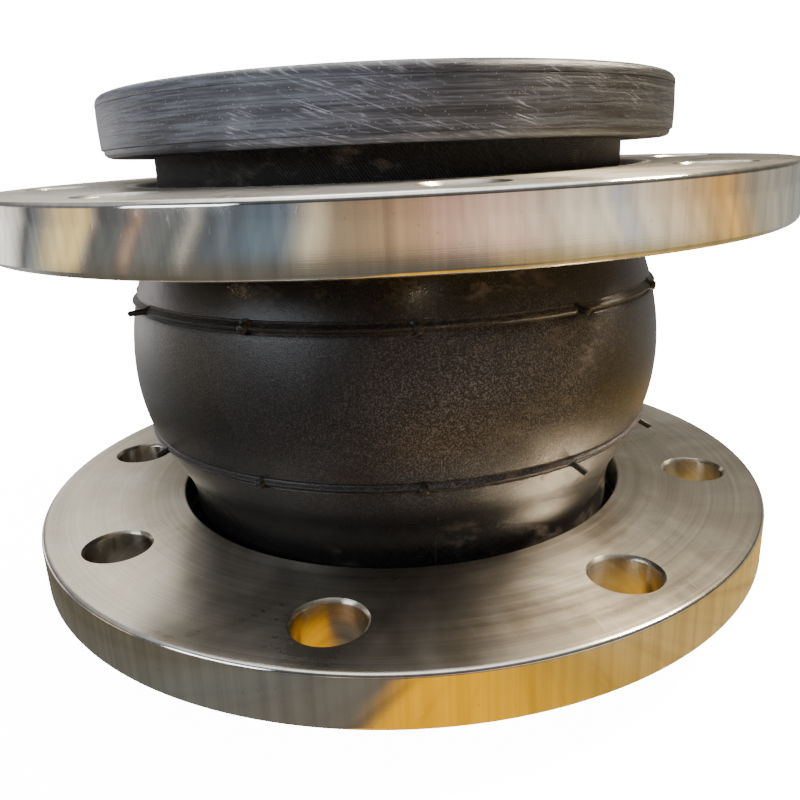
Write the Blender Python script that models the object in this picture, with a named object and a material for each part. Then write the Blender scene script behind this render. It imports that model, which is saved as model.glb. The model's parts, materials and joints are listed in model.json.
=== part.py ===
"""Single-arch rubber expansion joint with two loose flanges, DN 150 (6 in), PN 16.

Metres, +Z up. The joint stands on the sealing face of its lower bead, with the pipe axis on Z and the
origin in the middle of that face. The upper flange lies askew on the shoulder of the arch.
"""
from math import acos, cos, pi, radians, sin, sqrt

import bmesh
import bpy
from mathutils import Matrix, Vector

# Whole joint
LENGTH = 0.185            # sealing face to sealing face
GAP = 0.0003              # between pieces that touch
RUBBER_SIDES = 30         # facets round the rubber pieces
FLANGE_SIDES = 48         # facets round a flange
HOLE_SIDES = 12           # facets round a bolt hole

# Rubber body, outside surface
ARCH_RADIUS = 0.1015      # crown of the arch
LOWER_BEND = 0.073        # radius of the arch in section, below its middle
UPPER_BEND = 0.095        # and above it, where the arch is fuller
NECK_RADIUS = 0.0855
FILLET = 0.012            # from the neck into the arch
ARCH_STEPS = 2            # chords in each half of the arch
RIDGE_OFFSET = 0.0245     # each moulded ridge, from the middle of the arch
RIDGE_HEIGHT = 0.0010
RIDGE_HALF_WIDTH = 0.0012

# Rubber body, thickness of each layer from the outside in
COVER_THICKNESS = 0.003
PLY_THICKNESS = 0.0007
PLY_COUNT = 4
TUBE_THICKNESS = 0.003

# Beads
BEAD_RADIUS = 0.1023
BEAD_THICKNESS = 0.0195
SEAL_FACE_THICKNESS = 0.0032
JACKET_THICKNESS = 0.0031
BEAD_EDGE = 0.0015        # chamfer of the bead's outer edges
WRAP_THICKNESS = 0.0012
WRAP_INNER_RADIUS = 0.087
FILLER_WIDTH = 0.0028
WIRE_RADIUS = 0.0021
WIRE_PITCH = 0.0046       # between the centres of two bead wires
WIRE_SIDES = 5

# Loose flanges
FLANGE_RADIUS = 0.1425
FLANGE_THICKNESS = 0.018
FLANGE_BORE_RADIUS = 0.090
FLANGE_EDGE = 0.0016      # chamfer of the rim
BORE_EDGE = 0.0008        # chamfer of the bore towards the arch
SEAT_RADIUS = 0.0035      # chamfer of the bore towards the bead
BOLT_CIRCLE_RADIUS = 0.120
BOLT_HOLE_RADIUS = 0.011
BOLT_HOLE_EDGE = 0.001
BOLT_COUNT = 8
FIRST_HOLE = radians(22.5)

# Where the loose upper flange lies
UPPER_MIDDLE = 0.1487     # height of the middle of the flange
UPPER_TILT = radians(1.1)
HIGH_SIDE = radians(55.5)  # from +X, the side that the tilt lifts
UPPER_TURN = radians(19)  # its bolt holes, from those of the lower flange

# Bending of the whole joint
HINGE_HEIGHT = 0.108

STAINLESS = ((0.60, 0.58, 0.54), 0.30, 1.0)
STEEL_WIRE = ((0.42, 0.40, 0.37), 0.35, 1.0)
OUTER_RUBBER = ((0.022, 0.021, 0.020), 0.45, 0.0)
INNER_RUBBER = ((0.030, 0.030, 0.031), 0.60, 0.0)
FABRIC = ((0.42, 0.34, 0.22), 0.85, 0.0)

MIDDLE = LENGTH / 2


def clear_scene():
    for thing in list(bpy.data.objects):
        bpy.data.objects.remove(thing, do_unlink=True)


def material(name, finish):
    colour, roughness, metallic = finish
    made = bpy.data.materials.new(name)
    made.use_nodes = True
    shader = made.node_tree.nodes["Principled BSDF"]
    shader.inputs["Base Color"].default_value = (*colour, 1.0)
    shader.inputs["Roughness"].default_value = roughness
    shader.inputs["Metallic"].default_value = metallic
    return made


def turned(name, section, sides, finish):
    """A ring: the closed section, (radius, height) points, spun once round Z."""
    mesh = bmesh.new()
    corners = [mesh.verts.new((r, 0.0, z)) for r, z in section]
    for a, b in zip(corners, corners[1:] + corners[:1]):
        mesh.edges.new((a, b))
    bmesh.ops.spin(mesh, geom=mesh.verts[:] + mesh.edges[:], cent=(0, 0, 0), axis=(0, 0, 1),
                   angle=2 * pi, steps=sides, use_merge=True)
    bmesh.ops.recalc_face_normals(mesh, faces=mesh.faces[:])
    data = bpy.data.meshes.new(name)
    mesh.to_mesh(data)
    mesh.free()
    data.shade_smooth()
    data.set_sharp_from_angle(angle=radians(30))
    made = bpy.data.objects.new(name, data)
    made.data.materials.append(material(name + "_finish", finish))
    bpy.context.scene.collection.objects.link(made)
    return made


def mirrored(section):
    """The same section at the other end of the joint."""
    return [(r, LENGTH - z) for r, z in section]


# Layers that run through the arch ---------------------------------------------------------------

def half_arch(bend, depth, end):
    """(radius, distance from the middle) from the crown to the end of a neck, at a depth under the outside."""
    centre = ARCH_RADIUS - bend
    across = NECK_RADIUS + FILLET - centre
    limit = acos(across / (bend + FILLET))
    points = []
    for step in range(ARCH_STEPS + 1):
        angle = limit * step / ARCH_STEPS
        points.append((centre + (bend - depth) * cos(angle), (bend - depth) * sin(angle)))
    neck = NECK_RADIUS - depth
    along = sqrt((bend + FILLET) ** 2 - across ** 2)
    return points + [(neck, along), (neck, MIDDLE - end)]


def surface(depth, end):
    """Points from the lower neck to the upper one, at a depth under the outside of the rubber."""
    lower = [(r, MIDDLE - z) for r, z in half_arch(LOWER_BEND, depth, end)]
    upper = [(r, MIDDLE + z) for r, z in half_arch(UPPER_BEND, depth, end)]
    return lower[:0:-1] + upper


def layer(name, depth, thickness, finish):
    end = SEAL_FACE_THICKNESS + GAP
    section = surface(depth, end) + surface(depth + thickness, end)[::-1]
    return turned(name, section, RUBBER_SIDES, finish)


def with_ridge(points, height):
    """The outside points with a moulded ridge standing on the chord that passes this height."""
    for n, (low, high) in enumerate(zip(points, points[1:])):
        if low[1] < height < high[1]:
            run = Vector((high[0] - low[0], high[1] - low[1]))
            along = run.normalized()
            out = Vector((along.y, -along.x))
            foot = Vector(low) + run * ((height - low[1]) / run.y)
            side = along * RIDGE_HALF_WIDTH
            ridge = [tuple(p) for p in (foot - side, foot + out * RIDGE_HEIGHT, foot + side)]
            return points[:n + 1] + ridge + points[n + 1:]
    return points


def outer_cover():
    end = SEAL_FACE_THICKNESS + GAP
    outside = surface(0.0, end)
    for height in (MIDDLE - RIDGE_OFFSET, MIDDLE + RIDGE_OFFSET):
        outside = with_ridge(outside, height)
    section = outside + surface(COVER_THICKNESS, end)[::-1]
    turned("outer_cover", section, RUBBER_SIDES, OUTER_RUBBER)
    return COVER_THICKNESS + GAP


def cord_plies(depth):
    for number in range(PLY_COUNT, 0, -1):
        layer(f"cord_ply_{number}", depth, PLY_THICKNESS, FABRIC)
        depth += PLY_THICKNESS + GAP
    return depth


# Beads ------------------------------------------------------------------------------------------

def seal_face_section(bore):
    rim, z = BEAD_RADIUS, SEAL_FACE_THICKNESS
    return [(bore, 0.0), (rim - BEAD_EDGE, 0.0), (rim, BEAD_EDGE), (rim, z), (bore, z)]


def jacket_section():
    rim, low, back = BEAD_RADIUS, SEAL_FACE_THICKNESS + GAP, BEAD_THICKNESS
    wall, inside = rim - JACKET_THICKNESS, NECK_RADIUS + GAP
    return [(wall, low), (rim, low), (rim, back - BEAD_EDGE), (rim - BEAD_EDGE, back),
            (inside, back), (inside, back - JACKET_THICKNESS), (wall, back - JACKET_THICKNESS)]


def wrap_limits():
    """Outer radius, lower and upper height of the fabric round the bead wires."""
    outer = BEAD_RADIUS - JACKET_THICKNESS - GAP
    return outer, SEAL_FACE_THICKNESS + 2 * GAP, BEAD_THICKNESS - JACKET_THICKNESS - GAP


def wrap_section():
    outer, low, high = wrap_limits()
    inner, t = WRAP_INNER_RADIUS, WRAP_THICKNESS
    return [(inner, low), (outer, low), (outer, high), (inner, high),
            (inner, high - t), (outer - t, high - t), (outer - t, low + t), (inner, low + t)]


def filler_section():
    low, high = (h + s * (WRAP_THICKNESS + GAP) for h, s in zip(wrap_limits()[1:], (1, -1)))
    inside = NECK_RADIUS + GAP
    tip = inside + FILLER_WIDTH
    slope = (high - low) / 5
    return [(inside, low), (tip, low + slope), (tip, high - slope), (inside, high)]


def wire_centres():
    """Two bead wires one over the other, and one in the saddle between them on the bore side."""
    outer, low, _ = wrap_limits()
    room = WRAP_THICKNESS + GAP + WIRE_RADIUS
    first = Vector((outer - room - GAP, low + room))
    second = first + Vector((0.0, WIRE_PITCH))
    return [first, second, (first + second) / 2 - Vector((WIRE_PITCH * sin(pi / 3), 0.0))]


def wire_section(centre):
    turns = [2 * pi * n / WIRE_SIDES + pi / 2 for n in range(WIRE_SIDES)]
    return [(centre.x + WIRE_RADIUS * cos(a), centre.y + WIRE_RADIUS * sin(a)) for a in turns]


def bead(end, bore, place):
    """The pieces of one bead; place turns a section at the lower end into one at this end."""
    pieces = [
        turned(f"{end}_seal_face", place(seal_face_section(bore)), RUBBER_SIDES, INNER_RUBBER),
        turned(f"{end}_bead_jacket", place(jacket_section()), RUBBER_SIDES, OUTER_RUBBER),
        turned(f"{end}_bead_wrap", place(wrap_section()), RUBBER_SIDES, FABRIC),
        turned(f"{end}_bead_filler", place(filler_section()), RUBBER_SIDES, INNER_RUBBER)]
    for number, centre in enumerate(wire_centres(), start=1):
        section = place(wire_section(centre))
        pieces.append(turned(f"{end}_bead_wire_{number}", section, RUBBER_SIDES, STEEL_WIRE))
    return pieces


# Flanges ----------------------------------------------------------------------------------------

def flange_section():
    """A plate round its own middle, with the bead on the lower side."""
    half, rim, bore = FLANGE_THICKNESS / 2, FLANGE_RADIUS, FLANGE_BORE_RADIUS
    return [(bore + SEAT_RADIUS, -half), (rim - FLANGE_EDGE, -half), (rim, FLANGE_EDGE - half),
            (rim, half - FLANGE_EDGE), (rim - FLANGE_EDGE, half), (bore + BORE_EDGE, half),
            (bore, half - BORE_EDGE), (bore, SEAT_RADIUS - half)]


def hole_cutter(name):
    """Eight drills in one mesh, each with a flare that chamfers the hole at both faces."""
    half, reach = FLANGE_THICKNESS / 2, 0.004
    flare = BOLT_HOLE_RADIUS + BOLT_HOLE_EDGE + reach
    outline = [(flare, -half - reach), (BOLT_HOLE_RADIUS, BOLT_HOLE_EDGE - half),
               (BOLT_HOLE_RADIUS, half - BOLT_HOLE_EDGE), (flare, half + reach)]
    turns = [2 * pi * n / HOLE_SIDES for n in range(HOLE_SIDES)]
    mesh = bmesh.new()
    for hole in range(BOLT_COUNT):
        angle = FIRST_HOLE + 2 * pi * hole / BOLT_COUNT
        x, y = BOLT_CIRCLE_RADIUS * cos(angle), BOLT_CIRCLE_RADIUS * sin(angle)
        rings = []
        for radius, height in outline:
            rings.append([mesh.verts.new((x + radius * cos(a), y + radius * sin(a), height)) for a in turns])
        for low, high in zip(rings, rings[1:]):
            for n in range(HOLE_SIDES):
                m = (n + 1) % HOLE_SIDES
                mesh.faces.new((low[n], low[m], high[m], high[n]))
        mesh.faces.new(rings[0][::-1])
        mesh.faces.new(rings[-1])
    data = bpy.data.meshes.new(name)
    mesh.to_mesh(data)
    mesh.free()
    cutter = bpy.data.objects.new(name, data)
    cutter.hide_render = True
    cutter.display_type = "WIRE"
    bpy.context.scene.collection.objects.link(cutter)
    return cutter


def axis_empty(name, place):
    axis = bpy.data.objects.new(name, None)
    bpy.context.scene.collection.objects.link(axis)
    axis.matrix_world = place
    return axis


def flange(name, middle, pose):
    """A loose flange turned round its own axis, which the parent empty holds."""
    axis = axis_empty(name + "_axis", Matrix.Translation(middle) @ pose)
    plate = turned(name, flange_section(), FLANGE_SIDES, STAINLESS)
    cutter = hole_cutter(name + "_drills")
    for thing in (plate, cutter):
        thing.parent = axis
    cut = plate.modifiers.new("bolt_holes", "BOOLEAN")
    cut.operation = "DIFFERENCE"
    cut.object = cutter
    return plate


def main():
    clear_scene()
    depth = cord_plies(outer_cover())
    layer("inner_tube", depth, TUBE_THICKNESS, INNER_RUBBER)
    bore = NECK_RADIUS - depth - TUBE_THICKNESS
    bead("lower", bore, lambda section: section)
    bending = axis_empty("bending_axis", Matrix.Translation((0, 0, HINGE_HEIGHT)))
    for piece in bead("upper", bore, mirrored):
        piece.parent = bending
        piece.location.z = -HINGE_HEIGHT
    lower_middle = BEAD_THICKNESS + GAP + FLANGE_THICKNESS / 2
    flange("lower_flange", Vector((0, 0, lower_middle)), Matrix.Identity(4))
    lean_axis = Vector((sin(HIGH_SIDE), -cos(HIGH_SIDE), 0))
    askew = Matrix.Rotation(UPPER_TILT, 4, lean_axis) @ Matrix.Rotation(UPPER_TURN, 4, "Z")
    flange("upper_flange", Vector((0, 0, UPPER_MIDDLE)), askew @ Matrix.Rotation(pi, 4, "X"))


main()
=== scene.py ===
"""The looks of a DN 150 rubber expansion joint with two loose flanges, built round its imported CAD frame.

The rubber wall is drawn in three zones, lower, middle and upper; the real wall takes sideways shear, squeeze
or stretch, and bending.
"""

import json
from math import acos, cos, pi, radians, sin, sqrt

import bmesh
import bpy
from mathutils import Matrix, Vector, noise


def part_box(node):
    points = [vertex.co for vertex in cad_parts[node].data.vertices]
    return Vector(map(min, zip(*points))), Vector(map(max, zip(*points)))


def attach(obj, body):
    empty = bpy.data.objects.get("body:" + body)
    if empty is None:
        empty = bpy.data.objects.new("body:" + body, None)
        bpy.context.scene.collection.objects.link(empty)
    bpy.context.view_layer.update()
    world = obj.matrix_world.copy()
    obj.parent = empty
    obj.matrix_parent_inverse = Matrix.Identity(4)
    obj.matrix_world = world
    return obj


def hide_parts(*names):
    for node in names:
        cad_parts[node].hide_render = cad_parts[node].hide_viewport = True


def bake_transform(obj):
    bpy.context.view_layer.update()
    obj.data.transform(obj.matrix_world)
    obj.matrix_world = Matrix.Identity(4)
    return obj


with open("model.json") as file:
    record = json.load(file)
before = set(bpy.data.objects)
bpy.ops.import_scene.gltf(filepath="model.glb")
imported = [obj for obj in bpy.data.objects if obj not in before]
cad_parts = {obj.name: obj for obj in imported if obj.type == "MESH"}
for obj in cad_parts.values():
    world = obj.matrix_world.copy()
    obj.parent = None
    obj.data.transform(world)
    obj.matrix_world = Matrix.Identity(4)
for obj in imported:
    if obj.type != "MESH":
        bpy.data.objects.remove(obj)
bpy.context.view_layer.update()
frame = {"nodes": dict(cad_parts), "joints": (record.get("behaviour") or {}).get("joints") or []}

# Rubber body: the outside surface, as the CAD part has it
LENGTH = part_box("upper_seal_face")[1].z
MIDDLE = LENGTH / 2
ARCH_RADIUS = 0.1015
LOWER_BEND = 0.073
UPPER_BEND = 0.095
NECK_RADIUS = 0.0855
LOWER_FILLET = 0.030
UPPER_FILLET = 0.012
RIDGE_OFFSET = 0.0245
RIDGE_HEIGHT = 0.0012
RIDGE_HALF_WIDTH = 0.0011
DIP_DEPTH = 0.00035
DIP_END = 1.9
SWELL = 0.00035
SWELL_REACH = 0.06
COVER_THICKNESS = 0.003
PLY_THICKNESS = 0.0007
PLY_COUNT = 4
TUBE_THICKNESS = 0.003
GAP = 0.0003

# Beads
BEAD_RADIUS = 0.1023
BEAD_THICKNESS = 0.0195
SEAL_FACE_THICKNESS = 0.0032
SEAL_GROOVES = (0.0845, 0.0890, 0.0935)
JACKET_THICKNESS = 0.0031
LIP_HEIGHT = 0.0026
SEAL_EDGE = 0.0026
SEAL_RELIEF = 0.00006

# Flanges
FLANGE_RADIUS = 0.1425
FLANGE_THICKNESS = 0.018
FLANGE_BORE_RADIUS = 0.090
FLANGE_EDGE = 0.0016
BORE_EDGE = 0.0007
SEAT_EDGE = 0.0035
BOLT_CIRCLE_RADIUS = 0.120
BOLT_HOLE_RADIUS = 0.011
BOLT_HOLE_EDGE = 0.001
DRILL_OVERRUN = 0.004
BOLT_COUNT = 8
FIRST_HOLE = radians(22.5)
UPPER_TURN = radians(19)

# Zones of the wall: name, heights, and the two bodies below and above each one
ZONES = (
    ("lower", None, 0.057, 0.028, 0.057, "lower_end", "inner_wall"),
    ("middle", 0.057, 0.093, 0.057, 0.093, "inner_wall", "outer_wall"),
    ("upper", 0.093, None, 0.093, 0.122, "outer_wall", "upper_end"),
)

# Mould marks: where the first vent stands, how many share a ridge, how deep they root, and the parting line
FIRST_VENT = radians(-98)
VENT_COUNT = 12
VENT_ROOT = 0.0008
SEAM = radians(-95)

# The middle of a dusty patch on the arch
DUSTY_SPOT = (0.0408, -0.0920, 0.102)

# Fineness
WALL_SIDES = 192
WALL_STEP = 0.0022
TUBE_SIDES = 120
TUBE_STEP = 0.003
HIDDEN_SIDES = 64
HIDDEN_STEP = 0.006
FLANGE_SIDES = 240
HOLE_SIDES = 56
STALK_SIDES = 12

# Camera
CAMERA_REACH = 0.302
CAMERA_AZIMUTH = radians(-101.8)
CAMERA_HEIGHT = 0.1609
CAMERA_HEADING = radians(78.05)
CAMERA_PITCH = radians(17.6)
CAMERA_ROLL = radians(-2.35)
CAMERA_LENS = 33.8

# Stage: half the floor's width, and how bright the camera sees the floor and the white round it
FLOOR_REACH = 4.0
FLOOR_GLOW = 14.5
WHITE = 16.0

# What stands round the bench, by direction in degrees from +X: all but the camera sees it and is lit by it
ROOM = (
    (-180, (0.62, 0.55, 0.46)), (-177, (0.18, 0.19, 0.19)), (-169, (0.22, 0.23, 0.23)),
    (-166, (0.64, 0.42, 0.30)), (-163, (0.26, 0.26, 0.25)), (-153, (0.24, 0.26, 0.26)),
    (-150, (0.74, 0.68, 0.58)), (-147, (0.12, 0.14, 0.16)), (-141, (0.20, 0.23, 0.27)),
    (-134, (0.18, 0.24, 0.30)), (-126, (0.25, 0.31, 0.37)), (-119, (1.10, 0.92, 0.62)),
    (-115, (0.50, 0.38, 0.25)), (-97, (0.80, 0.52, 0.29)), (-90, (1.12, 0.68, 0.48)),
    (-72, (1.65, 1.16, 0.88)), (-64, (1.35, 1.10, 0.82)), (-50, (1.60, 1.38, 1.05)),
    (-45, (0.85, 0.84, 0.86)), (-39, (1.30, 1.12, 0.84)), (-12, (1.28, 0.72, 0.20)),
    (0, (0.62, 0.54, 0.40)), (12, (0.60, 0.56, 0.46)), (35, (0.46, 0.46, 0.42)),
    (55, (0.20, 0.20, 0.19)), (100, (0.16, 0.16, 0.16)), (118, (1.10, 1.07, 1.02)),
    (130, (3.20, 3.10, 3.00)), (148, (1.85, 1.80, 1.64)), (156, (0.12, 0.13, 0.14)),
    (161, (0.40, 0.42, 0.42)), (174, (1.70, 1.30, 0.58)),
)

# What hangs higher up, in the same way
WINDOWS = (
    (-180, (0.40, 0.40, 0.42)), (-165, (0.20, 0.20, 0.21)), (-150, (0.14, 0.14, 0.15)),
    (-60, (0.22, 0.21, 0.20)), (20, (0.34, 0.31, 0.26)), (45, (0.66, 0.61, 0.52)),
    (57, (0.68, 0.63, 0.54)), (63, (0.52, 0.48, 0.41)), (71, (0.40, 0.36, 0.30)),
    (77, (0.18, 0.17, 0.15)), (90, (0.13, 0.13, 0.13)), (94, (0.24, 0.23, 0.22)),
    (98, (1.90, 1.83, 1.64)), (102, (3.60, 3.45, 3.10)), (109, (3.60, 3.45, 3.10)),
    (116, (0.60, 0.60, 0.60)), (150, (0.55, 0.55, 0.57)),
)


# Node graph helpers ------------------------------------------------------------------------------

class Graph:
    """A node tree, with short calls for the nodes used here."""

    def __init__(self, tree):
        self.tree = tree
        self.coordinates = self.add("ShaderNodeTexCoord")
        self.place = self.coordinates.outputs["Object"]

    @classmethod
    def of_material(cls, name):
        material = bpy.data.materials.new(name)
        material.use_nodes = True
        graph = cls(material.node_tree)
        graph.material = material
        graph.shader = graph.tree.nodes["Principled BSDF"]
        return graph

    def add(self, kind, **settings):
        node = self.tree.nodes.new(kind)
        for name, value in settings.items():
            setattr(node, name, value)
        return node

    def link(self, source, target):
        if isinstance(source, (int, float, tuple)):
            target.default_value = source
        else:
            self.tree.links.new(source, target)

    def math(self, operation, a, b=0.0, clamp=False):
        node = self.add("ShaderNodeMath", operation=operation, use_clamp=clamp)
        self.link(a, node.inputs[0])
        self.link(b, node.inputs[1])
        return node.outputs[0]

    def times(self, a, b):
        return self.math("MULTIPLY", a, b)

    def ramp(self, value, stops):
        """A colour ramp; a stop is (position, grey level or colour)."""
        node = self.add("ShaderNodeValToRGB")
        elements = node.color_ramp.elements
        while len(elements) < len(stops):
            elements.new(1.0)
        for element, (position, colour) in zip(elements, stops):
            element.position = position
            element.color = (*colour, 1.0) if isinstance(colour, tuple) else (colour, colour, colour, 1.0)
        self.link(value, node.inputs[0])
        return node.outputs[0]

    def step(self, value, low, high):
        """0 at low, 1 at high, smooth between."""
        node = self.add("ShaderNodeMapRange", interpolation_type="SMOOTHSTEP")
        self.link(value, node.inputs["Value"])
        node.inputs["From Min"].default_value = low
        node.inputs["From Max"].default_value = high
        return node.outputs[0]

    def mix(self, factor, a, b, blend="MIX"):
        node = self.add("ShaderNodeMix", data_type="RGBA", blend_type=blend)
        self.link(factor, node.inputs[0])
        for value, socket in ((a, node.inputs[6]), (b, node.inputs[7])):
            self.link((*value, 1.0) if isinstance(value, tuple) else value, socket)
        return node.outputs[2]

    def noise(self, where, scale, detail=4.0, roughness=0.55, distortion=0.0):
        node = self.add("ShaderNodeTexNoise")
        self.link(where, node.inputs["Vector"])
        node.inputs["Scale"].default_value = scale
        node.inputs["Detail"].default_value = detail
        node.inputs["Roughness"].default_value = roughness
        node.inputs["Distortion"].default_value = distortion
        return node.outputs["Fac"]

    def voronoi(self, where, scale):
        node = self.add("ShaderNodeTexVoronoi")
        self.link(where, node.inputs["Vector"])
        node.inputs["Scale"].default_value = scale
        return node.outputs["Distance"]

    def stretched(self, where, scale, turn=(0.0, 0.0, 0.0)):
        node = self.add("ShaderNodeMapping")
        self.link(where, node.inputs["Vector"])
        node.inputs["Scale"].default_value = scale
        node.inputs["Rotation"].default_value = turn
        return node.outputs[0]

    def parts(self, where):
        node = self.add("ShaderNodeSeparateXYZ")
        self.link(where, node.inputs[0])
        return node.outputs

    def joined(self, x, y, z):
        node = self.add("ShaderNodeCombineXYZ")
        for value, socket in zip((x, y, z), node.inputs):
            self.link(value, socket)
        return node.outputs[0]

    def length(self, x, y):
        return self.math("SQRT", self.math("ADD", self.times(x, x), self.times(y, y)))

    def unrolled(self, middle=(0.0, 0.0, 0.0), lean=(0.0, 0.0, 0.0)):
        """x, y, z, angle and radius about a piece's own axis."""
        node = self.add("ShaderNodeMapping", vector_type="TEXTURE")
        self.link(self.place, node.inputs["Vector"])
        node.inputs["Location"].default_value = middle
        node.inputs["Rotation"].default_value = lean
        x, y, z = self.parts(node.outputs[0])
        return x, y, z, self.math("ARCTAN2", y, x), self.length(x, y)

    def bump(self, height, distance, strength=1.0, over=None):
        node = self.add("ShaderNodeBump")
        self.link(height, node.inputs["Height"])
        node.inputs["Distance"].default_value = distance
        node.inputs["Strength"].default_value = strength
        if over is not None:
            self.link(over, node.inputs["Normal"])
        return node.outputs[0]

    def uprights(self, x, y, scale):
        """Noise that changes only with direction, and has no seam."""
        reach = self.length(x, y)
        way = self.joined(self.math("DIVIDE", x, reach), self.math("DIVIDE", y, reach), 0.0)
        return self.noise(way, scale, 3.0, 0.6)

    def around(self, x, y, table):
        """The table's colour in the direction (x, y)."""
        turn = self.math("ADD", self.math("DIVIDE", self.math("ARCTAN2", y, x), 2 * pi), 0.5)
        return self.ramp(turn, [((angle + 180) / 360, colour) for angle, colour in table])

    def room(self, x, y):
        """The colours of ROOM in the direction (x, y), with finer uprights among them."""
        colour = self.around(x, y, ROOM)
        shade = self.ramp(self.uprights(x, y, 26.0), ((0.36, 0.72), (0.62, 1.18)))
        return self.mix(1.0, colour, shade, "MULTIPLY")

    def finish(self, colour, roughness, normal=None, **constants):
        self.link((*colour, 1.0) if isinstance(colour, tuple) else colour, self.shader.inputs["Base Color"])
        self.link(roughness, self.shader.inputs["Roughness"])
        if normal is not None:
            self.link(normal, self.shader.inputs["Normal"])
        for name, value in constants.items():
            self.shader.inputs[name.replace("_", " ")].default_value = value
        return self.material


# Materials ---------------------------------------------------------------------------------------

def turned_steel(name, middle, lean, seat_highlight_side):
    """Stainless plate, faced and turned on a lathe, then handled: rings, haze, scratches and pits.

    On the side towards the bead, 1 for up and -1 for down, a paler, rougher band round the bore is a painted
    highlight of its rounded edge."""
    g = Graph.of_material(name)
    x, y, z, _, radius = g.unrolled(middle, lean)
    round_place = g.joined(g.times(x, 3.0), g.times(y, 3.0), g.math("ADD", radius, z))
    rings = g.noise(g.stretched(round_place, (3.0, 3.0, 2800.0)), 1.0, 3.0, 0.6)
    wide_rings = g.noise(g.stretched(round_place, (2.0, 2.0, 520.0)), 1.0, 3.0, 0.5)
    rim = g.step(radius, FLANGE_RADIUS - 0.0012, FLANGE_RADIUS - 0.0004)
    haze = g.noise(g.place, 24.0, 6.0, 0.62, 0.6)
    stain = g.noise(g.place, 9.0, 5.0, 0.6, 1.2)
    speckle = g.noise(g.place, 1700.0, 2.0, 0.6)
    one = g.noise(g.stretched(g.place, (900.0, 26.0, 300.0), (0.3, 0.2, 0.7)), 1.0, 3.0, 0.5)
    two = g.noise(g.stretched(g.place, (34.0, 1000.0, 300.0), (0.1, 0.0, -0.5)), 1.0, 3.0, 0.5)
    cuts = g.math("MAXIMUM", g.ramp(one, ((0.66, 0.0), (0.74, 1.0))), g.ramp(two, ((0.67, 0.0), (0.75, 1.0))))
    scratches = g.times(cuts, g.ramp(g.noise(g.place, 30.0, 3.0), ((0.42, 0.0), (0.60, 1.0))))
    pits = g.ramp(g.voronoi(g.place, 210.0), ((0.03, 1.0), (0.09, 0.0)))
    face = g.ramp(haze, (
        (0.30, (0.38, 0.345, 0.28)), (0.52, (0.52, 0.485, 0.42)), (0.72, (0.64, 0.61, 0.55))))
    face = g.mix(g.ramp(stain, ((0.50, 0.0), (0.68, 0.6))), face, (0.40, 0.345, 0.26))
    side = g.ramp(haze, ((0.30, (0.66, 0.64, 0.59)), (0.60, (0.76, 0.745, 0.70))))
    # Painted reflection: upright bands of lighter and darker tone on the rim.
    side = g.mix(1.0, side, g.ramp(g.uprights(x, y, 34.0), ((0.40, 0.86), (0.60, 1.05))), "MULTIPLY")
    both_rings = g.math("ADD", g.times(rings, 0.5), g.times(wide_rings, 0.5))
    turning = g.ramp(both_rings, ((0.40, 0.86), (0.60, 1.10)))
    face = g.mix(1.0, face, turning, "MULTIPLY")
    tone = g.mix(rim, face, side)
    tone = g.mix(g.times(scratches, 0.35), tone, (0.80, 0.78, 0.73))
    tone = g.mix(g.times(pits, 0.3), tone, (0.22, 0.20, 0.17))
    # Painted highlight: a paler, rougher band round the bore, for the light caught by its rounded edge.
    seat_highlight = g.math("SUBTRACT", 1.0, g.step(radius, FLANGE_BORE_RADIUS + 0.0055, FLANGE_BORE_RADIUS + 0.0060))
    seat_highlight = g.times(seat_highlight, g.step(g.times(z, seat_highlight_side), 0.2 * FLANGE_THICKNESS, 0.3 * FLANGE_THICKNESS))
    tone = g.mix(seat_highlight, tone, (0.86, 0.85, 0.82))
    dulled = g.math("SUBTRACT", 1.0, g.times(rim, 0.7))
    rough = g.math("ADD", 0.30, g.times(rim, -0.20))
    rough = g.math("ADD", rough, g.times(g.math("SUBTRACT", haze, 0.5), g.times(dulled, 0.22)))
    rough = g.math("ADD", rough, g.times(g.math("SUBTRACT", wide_rings, 0.5), g.times(dulled, 0.08)))
    rough = g.math("ADD", rough, g.times(scratches, 0.08))
    rough = g.math("ADD", rough, g.times(seat_highlight, 0.15), clamp=True)
    normal = g.bump(rings, 0.000010, 0.7)
    normal = g.bump(wide_rings, 0.00002, 0.35, normal)
    normal = g.bump(speckle, 0.000006, 0.5, normal)
    normal = g.bump(g.times(scratches, -1.0), 0.00001, 0.5, normal)
    tangent = g.add("ShaderNodeTangent", direction_type="RADIAL", axis="Z")
    g.link(tangent.outputs[0], g.shader.inputs["Tangent"])
    return g.finish(tone, rough, normal, Metallic=1.0, Anisotropic=0.72, Anisotropic_Rotation=0.25)


def drawn_wire(name):
    """Bead wire: drawn steel with a bronze wash and lengthwise die marks."""
    g = Graph.of_material(name)
    x, y, z, _, radius = g.unrolled()
    round_place = g.joined(x, y, g.math("ADD", radius, z))
    marks = g.noise(g.stretched(round_place, (9.0, 9.0, 1800.0)), 1.0, 3.0)
    tone = g.ramp(g.noise(g.place, 60.0), ((0.35, (0.42, 0.33, 0.21)), (0.65, (0.58, 0.49, 0.34))))
    return g.finish(tone, g.math("ADD", 0.24, g.times(marks, 0.18)), g.bump(marks, 0.00002), Metallic=1.0)


def cord_fabric(name, lean):
    """Rubbered tyre cord: parallel cords on the bias, with rubber skim between them."""
    g = Graph.of_material(name)
    _, _, z, angle, _ = g.unrolled()
    across = g.math("ADD", g.times(angle, 92.0 * lean), g.times(z, 1500.0))
    cords = g.math("ADD", 0.5, g.times(g.math("SINE", across), 0.5))
    fuzz = g.noise(g.place, 900.0, 3.0)
    tone = g.mix(g.times(cords, 0.8), (0.07, 0.055, 0.04), (0.47, 0.38, 0.25))
    tone = g.mix(g.times(fuzz, 0.3), tone, (0.10, 0.08, 0.06))
    normal = g.bump(fuzz, 0.00008, 0.4, g.bump(cords, 0.0003))
    return g.finish(tone, g.math("ADD", 0.62, g.times(fuzz, 0.25)), normal)


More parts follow.
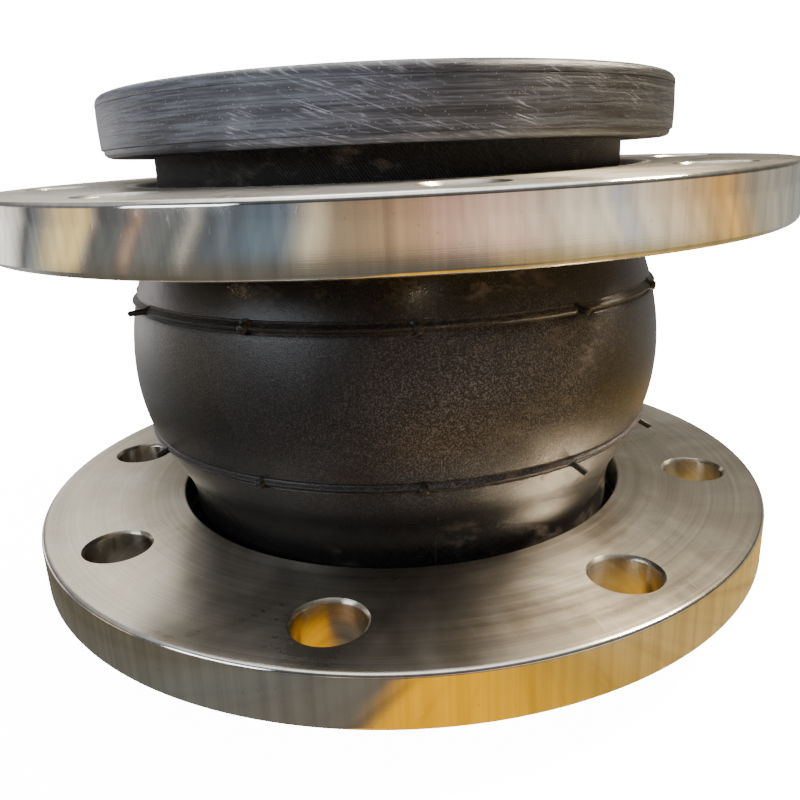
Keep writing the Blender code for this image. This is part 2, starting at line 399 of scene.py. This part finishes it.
def arch_rubber(name):
    """Moulded cover: semi-gloss black with fine grit and pale specks, partly grit and partly painted glints,
    laid on thicker across the front as painted sheen and thinner towards +X as painted shade; rubbed patches,
    the mould's parting line, and painted shade on the neck and towards the foot.
    """
    g = Graph.of_material(name)
    x, _, z, angle, _ = g.unrolled()
    grain = g.noise(g.place, 2300.0, 2.0, 0.7)
    coarse = g.noise(g.place, 800.0, 3.0, 0.65)
    cloud = g.noise(g.place, 17.0, 5.0, 0.6, 0.5)
    broad = g.noise(g.place, 7.0, 3.0, 0.5, 0.8)
    dents = g.noise(g.place, 70.0, 4.0, 0.55, 0.3)
    band = g.times(g.step(z, 0.050, 0.066), g.math("SUBTRACT", 1.0, g.step(z, 0.114, 0.128)))
    # Pale specks: partly grit, partly painted glints of the fine grain.
    grit_glints = g.ramp(g.noise(g.place, 1900.0, 2.0, 0.6), ((0.50, 0.0), (0.64, 1.0)))
    fleck_glints = g.ramp(g.voronoi(g.place, 1500.0), ((0.14, 1.0), (0.28, 0.0)))
    sparkle = g.times(g.math("MAXIMUM", g.times(grit_glints, 0.75), fleck_glints), g.math("ADD", 0.20, band))
    # Painted sheen and shade: the specks are laid on thicker across the front and thinner towards +X.
    painted_front_sheen = g.math("SUBTRACT", g.step(x, -0.060, 0.000), g.times(g.step(x, 0.035, 0.080), 0.5))
    painted_side_sheen = g.math("ADD", 0.30, g.times(painted_front_sheen, 0.70))
    dust_glints_sheen = g.times(g.times(sparkle, g.ramp(cloud, ((0.38, 0.35), (0.62, 1.0)))), painted_side_sheen)
    patch = g.add("ShaderNodeVectorMath", operation="DISTANCE")
    g.link(g.place, patch.inputs[0])
    patch.inputs[1].default_value = DUSTY_SPOT
    rubbed = g.math("SUBTRACT", 1.0, g.step(patch.outputs["Value"], 0.006, 0.016))
    scuff = g.noise(g.stretched(g.place, (90.0, 90.0, 170.0), (0.5, 0.0, 0.4)), 1.0, 6.0, 0.68, 0.6)
    worn = g.ramp(g.noise(g.place, 13.0, 3.0, 0.5, 0.6), ((0.52, 0.0), (0.64, 1.0)))
    scuffs = g.times(g.ramp(scuff, ((0.52, 0.0), (0.66, 1.0))), g.math("MAXIMUM", worn, rubbed))
    hair = g.noise(g.stretched(g.place, (60.0, 60.0, 1000.0), (0.5, 0.4, 0.2)), 1.0, 2.0, 0.5, 0.3)
    hairs = g.ramp(hair, ((0.735, 0.0), (0.765, 1.0)))
    off_seam = g.math("ABSOLUTE", g.math("SUBTRACT", angle, SEAM))
    broken = g.ramp(g.noise(g.joined(0.0, 0.0, z), 90.0, 3.0), ((0.46, 0.0), (0.56, 1.0)))
    seam = g.times(g.math("SUBTRACT", 1.0, g.step(off_seam, 0.0006, 0.0035)), broken)
    neck = g.step(z, LENGTH - 0.040, LENGTH - 0.034)
    bias = g.math("SINE", g.math("ADD", g.times(angle, 520.0), g.times(z, 4200.0)))
    tone = g.ramp(cloud, ((0.30, (0.008, 0.0075, 0.0080)), (0.70, (0.021, 0.0208, 0.0228))))
    tone = g.mix(1.0, tone, g.ramp(grain, ((0.36, 0.45), (0.64, 1.9))), "MULTIPLY")
    # Painted shade: the neck under the upper bead is darkened.
    tone = g.mix(neck, tone, (0.008, 0.008, 0.009))
    # Painted shade: darker towards the foot, beside the lower flange's bore.
    tone = g.mix(g.times(g.math("SUBTRACT", 1.0, g.step(z, 0.040, 0.060)), 0.7), tone, (0.006, 0.006, 0.006))
    # Pale specks, partly dust and partly painted glints, with painted sheen across the front and painted
    # shade towards +X.
    tone = g.mix(g.times(dust_glints_sheen, 0.80), tone, (0.25, 0.234, 0.258))
    tone = g.mix(g.times(scuffs, 0.62), tone, (0.22, 0.19, 0.15))
    tone = g.mix(g.times(hairs, 0.30), tone, (0.17, 0.16, 0.14))
    tone = g.mix(g.times(seam, 0.20), tone, (0.22, 0.20, 0.17))
    rough = g.math("ADD", 0.21, g.times(cloud, 0.14))
    rough = g.math("ADD", rough, g.times(scuffs, 0.18))
    rough = g.math("ADD", rough, g.math("ADD", g.times(band, 0.06), g.times(neck, 0.45)), clamp=True)
    normal = g.bump(g.times(grain, g.math("ADD", 0.35, band)), 0.00010, 0.8)
    normal = g.bump(coarse, 0.00010, 0.5, normal)
    normal = g.bump(dents, 0.00035, 0.4, normal)
    normal = g.bump(broad, 0.0012, 0.35, normal)
    normal = g.bump(seam, 0.00015, 0.8, normal)
    normal = g.bump(g.times(bias, neck), 0.00016, 0.8, normal)
    return g.finish(tone, rough, normal, IOR=1.48)


def bead_rubber(name):
    """Bead jacket: satin rubber scuffed grey, with streaks that run round it; far paler towards -X and darker
    towards +X, which is painted light and shade.
    """
    g = Graph.of_material(name)
    x, y, z, angle, radius = g.unrolled()
    flat = g.math("ADD", z, g.times(radius, 0.7))
    lean = g.math("ADD", g.times(angle, 0.035), flat)
    streak = g.noise(g.joined(g.times(x, 60.0), g.times(y, 60.0), g.times(flat, 1500.0)), 1.0, 6.0, 0.68)
    long_streak = g.noise(g.joined(g.times(x, 16.0), g.times(y, 16.0), g.times(flat, 620.0)), 1.0, 4.0, 0.6)
    slant = g.joined(g.times(x, 140.0), g.times(y, 140.0), g.times(lean, 1500.0))
    slanted = g.noise(slant, 1.0, 5.0, 0.62, 0.2)
    grain = g.noise(g.place, 1900.0, 3.0, 0.7)
    cloud = g.noise(g.place, 26.0, 5.0, 0.6, 0.7)
    wear = g.ramp(streak, ((0.42, 0.0), (0.66, 1.0)))
    rubbed = g.times(g.ramp(slanted, ((0.54, 0.0), (0.68, 1.0))), g.ramp(cloud, ((0.44, 0.0), (0.58, 1.0))))
    specks = g.ramp(g.voronoi(g.place, 800.0), ((0.09, 1.0), (0.17, 0.0)))
    tone = g.ramp(cloud, (
        (0.32, (0.018, 0.020, 0.026)), (0.50, (0.046, 0.049, 0.057)), (0.66, (0.085, 0.087, 0.095))))
    tone = g.mix(g.times(wear, 0.55), tone, (0.17, 0.176, 0.195))
    tone = g.mix(g.times(g.ramp(long_streak, ((0.50, 0.0), (0.60, 1.0))), 0.65), tone, (0.010, 0.010, 0.012))
    tone = g.mix(g.times(rubbed, 0.75), tone, (0.36, 0.37, 0.41))
    tone = g.mix(g.times(specks, 0.45), tone, (0.34, 0.34, 0.34))
    # Painted light and shade: the colour is about six times paler at -X than at +X, for how the light falls
    # on the two sides.
    tone = g.mix(1.0, tone, g.mix(g.step(x, -0.05, 0.07), (1.75, 1.87, 2.15), (0.30, 0.30, 0.29)), "MULTIPLY")
    flat_part = g.math("SUBTRACT", 1.0, g.step(radius, BEAD_RADIUS - 0.0040, BEAD_RADIUS - 0.0018))
    tone = g.mix(g.times(flat_part, 0.85), tone, (0.014, 0.014, 0.015))
    rough = g.math("ADD", g.math("ADD", 0.30, g.times(wear, 0.22)), g.times(flat_part, 0.22))
    normal = g.bump(streak, 0.00026, 0.7)
    normal = g.bump(rubbed, 0.00012, 0.6, normal)
    normal = g.bump(grain, 0.00012, 0.7, normal)
    return g.finish(tone, rough, normal, IOR=1.5)


def inner_rubber(name):
    """Lining and fillers: smooth moulded rubber with fine flow rings."""
    g = Graph.of_material(name)
    x, y, z, _, radius = g.unrolled()
    flat = g.times(g.math("ADD", z, radius), 1500.0)
    rings = g.noise(g.joined(g.times(x, 12.0), g.times(y, 12.0), flat), 1.0, 4.0, 0.6)
    grain = g.noise(g.place, 1100.0, 3.0, 0.7)
    cloud = g.noise(g.place, 24.0, 5.0, 0.6, 0.6)
    specks = g.ramp(g.voronoi(g.place, 480.0), ((0.07, 1.0), (0.13, 0.0)))
    tone = g.ramp(cloud, ((0.32, (0.010, 0.010, 0.011)), (0.70, (0.022, 0.0215, 0.021))))
    tone = g.mix(g.times(specks, 0.25), tone, (0.16, 0.155, 0.145))
    normal = g.bump(grain, 0.00006, 0.5, g.bump(rings, 0.00006, 0.6))
    return g.finish(tone, g.math("ADD", 0.50, g.times(cloud, 0.20)), normal, IOR=1.45)


def vent_rubber(name):
    g = Graph.of_material(name)
    grain = g.noise(g.place, 1600.0, 3.0)
    tone = g.ramp(grain, ((0.3, (0.010, 0.010, 0.010)), (0.7, (0.030, 0.028, 0.026))))
    return g.finish(tone, g.math("ADD", 0.22, g.times(grain, 0.2)), g.bump(grain, 0.00008))


# Mesh helpers ------------------------------------------------------------------------------------

def add_object(name, mesh, material, sharp=radians(28)):
    data = bpy.data.meshes.new(name)
    mesh.to_mesh(data)
    mesh.free()
    data.shade_smooth()
    data.set_sharp_from_angle(angle=sharp)
    made = bpy.data.objects.new(name, data)
    made.data.materials.append(material)
    bpy.context.scene.collection.objects.link(made)
    return made


def turned(name, section, sides, material, wobble=None):
    """A closed ring from a section of (radius, height) points; wobble(angle, r, z) adds to the radius."""
    mesh = bmesh.new()
    rings = []
    for n in range(sides):
        angle = 2 * pi * n / sides
        ring = []
        for r, z in section:
            swell = wobble(angle, r, z) if wobble else 0.0
            ring.append(mesh.verts.new(((r + swell) * cos(angle), (r + swell) * sin(angle), z)))
        rings.append(ring)
    count = len(section)
    for n in range(sides):
        here, there = rings[n], rings[(n + 1) % sides]
        for k in range(count):
            m = (k + 1) % count
            mesh.faces.new((here[k], there[k], there[m], here[m]))
    bmesh.ops.recalc_face_normals(mesh, faces=mesh.faces[:])
    return add_object(name, mesh, material)


# Rubber wall -------------------------------------------------------------------------------------

def wall_radius(z, depth):
    """Radius of the wall at a height, at a depth under its outside."""
    up = abs(z - MIDDLE)
    bend, fillet = (UPPER_BEND, UPPER_FILLET) if z > MIDDLE else (LOWER_BEND, LOWER_FILLET)
    centre = ARCH_RADIUS - bend
    across = NECK_RADIUS + fillet - centre
    along = sqrt((bend + fillet) ** 2 - across ** 2)
    limit = acos(across / (bend + fillet))
    if up <= (bend - depth) * sin(limit):
        return centre + sqrt((bend - depth) ** 2 - up ** 2)
    if up < along:
        return NECK_RADIUS + fillet - sqrt(max((fillet + depth) ** 2 - (along - up) ** 2, 0.0))
    return NECK_RADIUS - depth


def ridge_rise(z):
    """How far the two moulded ridges stand out at a height, with a shallow dip beside each."""
    rise = 0.0
    for centre in (MIDDLE - RIDGE_OFFSET, MIDDLE + RIDGE_OFFSET):
        t = abs(z - centre) / RIDGE_HALF_WIDTH
        if t < 1.0:
            rise = RIDGE_HEIGHT * (1 - t * t) ** 1.5
        elif t < DIP_END:
            rise = -DIP_DEPTH * sin(pi * (t - 1.0) / (DIP_END - 1.0))
    return rise


def heights(low, high, step, ridges):
    """Even steps from low to high, with finer ones over the ridges."""
    count = max(2, round((high - low) / step))
    made = [low + (high - low) * n / count for n in range(count + 1)]
    if ridges:
        for centre in (MIDDLE - RIDGE_OFFSET, MIDDLE + RIDGE_OFFSET):
            reach = 2 * RIDGE_HALF_WIDTH
            if low < centre < high:
                made = [z for z in made if abs(z - centre) > reach]
                made += [centre + reach * n / 10 for n in range(-10, 11)]
    return sorted(made)


def cover_wobble(angle, r, z):
    """The cover isn't perfectly round: slow swells over the arch."""
    if r < wall_radius(z, 0.5 * COVER_THICKNESS):
        return 0.0
    fade = max(0.0, 1.0 - abs(z - MIDDLE) / SWELL_REACH)
    return SWELL * fade * noise.noise(Vector((1.3 * cos(angle), 1.3 * sin(angle), 14.0 * z)))


def wall_zone(name, depth, thickness, low, high, sides, step, material, detail=False):
    outside = []
    for z in heights(low, high, step, detail):
        outside.append((wall_radius(z, depth) + (ridge_rise(z) if detail else 0.0), z))
    inside = [(wall_radius(z, depth + thickness), z) for z in heights(low, high, step, False)]
    return turned(name, outside + inside[::-1], sides, material, cover_wobble if detail else None)


def build_layer(node, depth, thickness, sides, step, material, detail=False):
    """One layer of the wall, in its three zones."""
    end = SEAL_FACE_THICKNESS + GAP
    for zone, low, high, start, stop, below, above in ZONES:
        low, high = low or end, high or LENGTH - end
        piece = wall_zone(f"{node}_{zone}", depth, thickness, low, high, sides, step, material, detail)
        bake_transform(piece)
        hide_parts(node)


def build_wall():
    """All layers, from the outside in; gives the radius of the bore."""
    depth = 0.0
    rubber = arch_rubber("cover_rubber")
    build_layer("outer_cover", depth, COVER_THICKNESS, WALL_SIDES, WALL_STEP, rubber, True)
    depth += COVER_THICKNESS + GAP
    for number in range(PLY_COUNT, 0, -1):
        fabric = cord_fabric(f"ply_{number}_fabric", 1 if number % 2 else -1)
        build_layer(f"cord_ply_{number}", depth, PLY_THICKNESS, HIDDEN_SIDES, HIDDEN_STEP, fabric)
        depth += PLY_THICKNESS + GAP
    build_layer("inner_tube", depth, TUBE_THICKNESS, TUBE_SIDES, TUBE_STEP, inner_rubber("tube_rubber"))
    return NECK_RADIUS - depth - TUBE_THICKNESS


def add_stalk(mesh, spots, radii, side, up):
    """A round stalk through the spots, closed at both ends."""
    turns = [2 * pi * n / STALK_SIDES for n in range(STALK_SIDES)]
    rings = []
    for spot, radius in zip(spots, radii):
        rings.append([mesh.verts.new(spot + (side * cos(a) + up * sin(a)) * radius) for a in turns])
    for low, high in zip(rings, rings[1:]):
        for n in range(STALK_SIDES):
            m = (n + 1) % STALK_SIDES
            mesh.faces.new((low[n], low[m], high[m], high[n]))
    mesh.faces.new(rings[0][::-1])
    mesh.faces.new(rings[-1])


def vents(zone, centre, stalks, material):
    """Rubber stalks left by the mould's vents on one ridge; a stalk is (length, droop, sideways, radius)."""
    name, _, _, start, stop, below, above = zone
    mesh = bmesh.new()
    for n, (length, droop, sideways, radius) in enumerate(stalks):
        azimuth = FIRST_VENT + 2 * pi * n / VENT_COUNT
        out = Vector((cos(azimuth), sin(azimuth), 0.0))
        along = Vector((-out.y, out.x, 0.0))
        foot = out * (wall_radius(centre, 0.0) - VENT_ROOT) + Vector((0, 0, centre))
        way = (out + along * sideways - Vector((0, 0, droop))).normalized()
        side = way.cross(Vector((0, 0, 1))).normalized()
        up = side.cross(way).normalized()
        spots = [foot + way * (length * t) for t in (0.0, 0.15, 0.3, 0.88, 0.97, 1.0)]
        add_stalk(mesh, spots, [radius * s for s in (1.7, 1.35, 1.0, 0.96, 0.75, 0.4)], side, up)
    bmesh.ops.recalc_face_normals(mesh, faces=mesh.faces[:])
    piece = add_object(f"{name}_ridge_vents", mesh, material, radians(60))
    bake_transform(piece)
    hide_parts("outer_cover")


def build_vents():
    """Most stalks are trimmed close; a few stand out."""
    material = vent_rubber("vent_rubber")
    trimmed = (0.0033, 0.1, 0.0, 0.0016)
    lower, upper = [trimmed] * VENT_COUNT, [trimmed] * VENT_COUNT
    lower[1] = (0.0070, 0.7, 0.5, 0.0011)
    lower[2] = (0.0065, 0.5, 0.0, 0.0011)
    lower[10] = (0.0065, 0.2, 0.2, 0.0010)
    upper[1] = (0.0055, 0.0, -0.1, 0.0012)
    upper[10] = (0.0075, 0.0, 0.1, 0.0010)
    upper[5] = lower[7] = (0.0060, 0.3, 0.2, 0.0010)
    vents(ZONES[1], MIDDLE - RIDGE_OFFSET, lower, material)
    vents(ZONES[2], MIDDLE + RIDGE_OFFSET, upper, material)


# Beads -------------------------------------------------------------------------------------------

def jacket_section():
    """Rim and back of the bead, with the step that the mould leaves near the back edge."""
    rim, low, back = BEAD_RADIUS, SEAL_FACE_THICKNESS + GAP, BEAD_THICKNESS
    wall, inside = rim - JACKET_THICKNESS, NECK_RADIUS + GAP
    lip, foot = back - LIP_HEIGHT, low + 0.0006
    side = [(rim - 0.0001, low)]
    side += [(rim + 0.00015 * sin(pi * n / 8), foot + (lip - foot) * n / 8) for n in range(9)]
    edge = [(rim - 0.0008, lip + 0.0003), (rim - 0.0008, lip + 0.0009), (rim - 0.0011, back - 0.0009),
            (rim - 0.0019, back - 0.0003), (rim - 0.0030, back)]
    inner = [(inside, back), (inside, back - JACKET_THICKNESS), (wall, back - JACKET_THICKNESS)]
    return [(wall, low)] + side + edge + inner


def seal_section(bore):
    """The sealing face, with three shallow grooves and a rounded outer edge."""
    rim, edge, z = BEAD_RADIUS, SEAL_EDGE, SEAL_FACE_THICKNESS + GAP - SEAL_RELIEF
    face = [(bore + 0.0012, 0.0)]
    groove = ((-0.0009, 0.0), (-0.0005, 0.0005), (0.0005, 0.0005), (0.0009, 0.0))
    for middle in SEAL_GROOVES:
        face += [(middle + x, d) for x, d in groove]
    arc = [(rim - edge + edge * sin(a), edge - edge * cos(a)) for a in (pi / 2 * n / 6 for n in range(7))]
    return [(bore, 0.0012)] + face + arc + [(rim, z), (bore, z)]


def build_bead(end, place, bore, seed):
    def wobble(angle, r, z):
        if r < BEAD_RADIUS - 0.004:
            return 0.0
        slow = Vector((2.2 * cos(angle), 2.2 * sin(angle), seed + 30 * z))
        quick = Vector((26 * cos(angle), 26 * sin(angle), seed + 90 * z))
        return 0.00035 * noise.noise(slow) + 0.00012 * noise.noise(quick)

    jacket = turned(f"{end}_bead_rubber", [place(p) for p in jacket_section()], WALL_SIDES,
                    bead_rubber(f"{end}_bead_finish"), wobble)
    seal = turned(f"{end}_sealing_face", [place(p) for p in seal_section(bore)], WALL_SIDES,
                  bead_rubber(f"{end}_seal_finish"), wobble)
    for piece, node in ((jacket, f"{end}_bead_jacket"), (seal, f"{end}_seal_face")):
        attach(piece, f"{end}_end")
        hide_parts(node)


def paint_hidden_pieces():
    """The pieces inside the beads keep their CAD meshes."""
    finishes = {"bead_wire": drawn_wire("bead_wire_finish"), "bead_wrap": cord_fabric("bead_wrap_fabric", 1),
                "bead_filler": inner_rubber("bead_filler_rubber")}
    for node, thing in frame["nodes"].items():
        for word, material in finishes.items():
            if word in node:
                thing.data.materials.clear()
                thing.data.materials.append(material)


# Flanges -----------------------------------------------------------------------------------------

def flange_section():
    """The plate round its own middle, with rounded edges; the side towards the bead is down."""
    half, rim, bore = FLANGE_THICKNESS / 2, FLANGE_RADIUS, FLANGE_BORE_RADIUS
    corners = (((bore, -half), (1, 1), SEAT_EDGE, pi), ((rim, -half), (-1, 1), FLANGE_EDGE, 1.5 * pi),
               ((rim, half), (-1, -1), FLANGE_EDGE, 0.0), ((bore, half), (1, -1), BORE_EDGE, 0.5 * pi))
    section = []
    for (r, z), (dr, dz), size, first in corners:
        for n in range(6):
            a = first + pi / 2 * n / 5
            section.append((r + size * (dr + cos(a)), z + size * (dz + sin(a))))
    return section


def drills():
    """Eight drills in one mesh, each with a flare that breaks the hole's edges."""
    half, reach, edge, bore = FLANGE_THICKNESS / 2, DRILL_OVERRUN, BOLT_HOLE_EDGE, BOLT_HOLE_RADIUS
    upper = [(bore, half - 1.5 * edge), (bore + 0.15 * edge, half - edge), (bore + edge, half),
             (bore + edge + reach, half + reach)]
    outline = [(r, -z) for r, z in upper[::-1]] + upper
    turns = [2 * pi * n / HOLE_SIDES for n in range(HOLE_SIDES)]
    mesh = bmesh.new()
    for hole in range(BOLT_COUNT):
        angle = FIRST_HOLE + 2 * pi * hole / BOLT_COUNT
        x, y = BOLT_CIRCLE_RADIUS * cos(angle), BOLT_CIRCLE_RADIUS * sin(angle)
        rings = []
        for radius, height in outline:
            rings.append([mesh.verts.new((x + radius * cos(a), y + radius * sin(a), height)) for a in turns])
        for low, high in zip(rings, rings[1:]):
            for n in range(HOLE_SIDES):
                m = (n + 1) % HOLE_SIDES
                mesh.faces.new((low[n], low[m], high[m], high[n]))
        mesh.faces.new(rings[0][::-1])
        mesh.faces.new(rings[-1])
    data = bpy.data.meshes.new("drills")
    mesh.to_mesh(data)
    mesh.free()
    made = bpy.data.objects.new("drills", data)
    bpy.context.scene.collection.objects.link(made)
    return made


def build_flange(node, body, pose, material):
    plate = turned(node + "_plate", flange_section(), FLANGE_SIDES, material)
    cutter = drills()
    cut = plate.modifiers.new("holes", "BOOLEAN")
    cut.operation = "DIFFERENCE"
    cut.object = cutter
    cut.solver = "EXACT"
    bpy.context.view_layer.update()
    shaped = bpy.data.meshes.new_from_object(plate.evaluated_get(bpy.context.evaluated_depsgraph_get()))
    plate.modifiers.clear()
    plate.data = shaped
    bpy.data.objects.remove(cutter, do_unlink=True)
    shaped.transform(pose)
    shaped.shade_smooth()
    shaped.set_sharp_from_angle(angle=radians(26))
    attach(plate, body)
    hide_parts(node)


def build_flanges():
    low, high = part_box("lower_flange")
    middle = Vector((0, 0, (low.z + high.z) / 2))
    build_flange("lower_flange", "lower_ring", Matrix.Translation(middle),
                 turned_steel("lower_flange_steel", middle, (0, 0, 0), -1.0))
    swivel = next(j for j in frame["joints"] if j["name"] == "upper_flange_swivel")
    middle = Vector(swivel["pos_m"])
    lean = Vector((0, 0, 1)).rotation_difference(Vector(swivel["axis"]))
    pose = Matrix.Translation(middle) @ lean.to_matrix().to_4x4()
    pose = pose @ Matrix.Rotation(UPPER_TURN, 4, "Z") @ Matrix.Rotation(pi, 4, "X")
    build_flange("upper_flange", "upper_ring", pose,
                 turned_steel("upper_flange_steel", middle, lean.to_euler(), 1.0))


# Stage -------------------------------------------------------------------------------------------

def build_floor():
    """A plain pale floor to the camera; all else sees a glowing warm bench in it, and the room beyond."""
    corners = ((-FLOOR_REACH, -FLOOR_REACH), (FLOOR_REACH, -FLOOR_REACH),
               (FLOOR_REACH, FLOOR_REACH), (-FLOOR_REACH, FLOOR_REACH))
    mesh = bmesh.new()
    mesh.faces.new([mesh.verts.new((x, y, 0.0)) for x, y in corners])
    g = Graph.of_material("floor_paint")
    path = g.add("ShaderNodeLightPath")
    x, y, _ = g.parts(g.place)
    streaks = g.noise(g.joined(g.math("ADD", x, g.times(y, 0.25)), 0.0, 0.0), 60.0, 3.0, 0.6)
    near = g.ramp(g.math("ADD", g.math("ADD", x, g.times(streaks, 0.02)), 0.5), (
        (0.34, (0.17, 0.15, 0.11)), (0.40, (0.20, 0.20, 0.18)), (0.455, (0.22, 0.19, 0.155)),
        (0.470, (1.60, 0.74, 0.0)), (0.50, (1.55, 0.74, 0.0)), (0.55, (0.80, 0.44, 0.06)),
        (0.60, (0.85, 0.56, 0.19)), (0.85, (0.85, 0.52, 0.12))))
    near = g.mix(1.0, near, g.ramp(streaks, ((0.36, 0.70), (0.48, 1.0))), "MULTIPLY")
    # Painted shade: the glow is near black inside the bore, under the part.
    near = g.mix(g.step(g.length(x, y), 0.068, 0.080), (0.03, 0.03, 0.03), near)
    far = g.mix(g.step(x, 0.06, 0.16), (0.17, 0.15, 0.12), (0.52, 0.37, 0.15))
    far = g.mix(g.step(y, -0.05, 0.20), far, (0.50, 0.49, 0.47))
    bench = g.mix(g.step(g.length(x, y), 0.24, 0.30), near, far)
    glow = g.add("ShaderNodeEmission")
    g.link(g.mix(g.step(g.length(x, y), 0.55, 0.95), bench, g.room(x, y)), glow.inputs["Color"])
    paint = g.shader
    paint.inputs["Base Color"].default_value = (0.82, 0.82, 0.82, 1.0)
    paint.inputs["Roughness"].default_value = 0.9
    paint.inputs["Emission Color"].default_value = (1.0, 1.0, 1.0, 1.0)
    paint.inputs["Emission Strength"].default_value = FLOOR_GLOW
    choice = g.add("ShaderNodeMixShader")
    g.link(path.outputs["Is Camera Ray"], choice.inputs[0])
    g.link(glow.outputs[0], choice.inputs[1])
    g.link(paint.outputs[0], choice.inputs[2])
    g.link(choice.outputs[0], g.tree.nodes["Material Output"].inputs["Surface"])
    add_object("floor", mesh, g.material)


def build_world():
    """Plain white to the camera; all else is lit by the room, with a bright sky over it."""
    world = bpy.data.worlds.new("studio")
    bpy.context.scene.world = world
    world.use_nodes = True
    world.node_tree.nodes.clear()
    g = Graph(world.node_tree)
    path = g.add("ShaderNodeLightPath")
    x, y, z = g.parts(g.coordinates.outputs["Generated"])
    walls = g.mix(1.0, g.room(x, y), (0.85, 0.82, 0.85), "MULTIPLY")
    windows = g.mix(1.0, g.around(x, y, WINDOWS), g.ramp(z, ((0.34, 0.40), (0.52, 1.0))), "MULTIPLY")
    sky = g.mix(g.step(z, 0.70, 0.92), windows, (2.6, 2.6, 2.6))
    plain = g.add("ShaderNodeBackground")
    plain.inputs["Color"].default_value = (WHITE, WHITE, WHITE, 1.0)
    room = g.add("ShaderNodeBackground")
    g.link(g.mix(g.step(z, 0.06, 0.20), walls, sky), room.inputs["Color"])
    choice = g.add("ShaderNodeMixShader")
    g.link(path.outputs["Is Camera Ray"], choice.inputs[0])
    g.link(room.outputs[0], choice.inputs[1])
    g.link(plain.outputs[0], choice.inputs[2])
    g.link(choice.outputs[0], g.add("ShaderNodeOutputWorld").inputs["Surface"])


def soft_light(name, azimuth, height, reach, size, power, colour):
    """An area light that looks at the middle of the part."""
    data = bpy.data.lights.new(name, "AREA")
    data.shape = "RECTANGLE"
    data.size, data.size_y = size
    data.energy = power
    data.color = colour
    made = bpy.data.objects.new(name, data)
    made.location = (reach * cos(azimuth), reach * sin(azimuth), height)
    made.rotation_euler = (Vector((0, 0, MIDDLE)) - made.location).to_track_quat("-Z", "Y").to_euler()
    bpy.context.scene.collection.objects.link(made)


def build_lights():
    soft_light("key", radians(-6), 1.22, 1.0, (0.30, 0.30), 85.0, (1.0, 0.84, 0.62))
    soft_light("left", radians(-152), 0.40, 1.0, (0.50, 0.25), 3.0, (0.85, 0.92, 1.0))
    soft_light("back", radians(95), 1.6, 0.6, (0.8, 0.8), 8.0, (1.0, 1.0, 1.0))


def build_camera():
    data = bpy.data.cameras.new("camera")
    data.lens = CAMERA_LENS
    data.sensor_width = 36.0
    data.clip_start = 0.01
    camera = bpy.data.objects.new("camera", data)
    level_ahead = Vector((cos(CAMERA_HEADING), sin(CAMERA_HEADING), 0.0))
    ahead = level_ahead * cos(CAMERA_PITCH) - Vector((0.0, 0.0, sin(CAMERA_PITCH)))
    level = Vector((sin(CAMERA_HEADING), -cos(CAMERA_HEADING), 0.0))
    right = level * cos(CAMERA_ROLL) + level.cross(ahead) * sin(CAMERA_ROLL)
    turn = Matrix((right, right.cross(ahead), -ahead)).transposed().to_4x4()
    spot = (CAMERA_REACH * cos(CAMERA_AZIMUTH), CAMERA_REACH * sin(CAMERA_AZIMUTH), CAMERA_HEIGHT)
    camera.matrix_world = Matrix.Translation(spot) @ turn
    bpy.context.scene.collection.objects.link(camera)
    bpy.context.scene.camera = camera


build_camera()
bore_radius = build_wall()
build_vents()
build_bead("lower", lambda p: p, bore_radius, 3.0)
build_bead("upper", lambda p: (p[0], LENGTH - p[1]), bore_radius, 11.0)
build_flanges()
paint_hidden_pieces()
build_floor()
build_world()
build_lights()
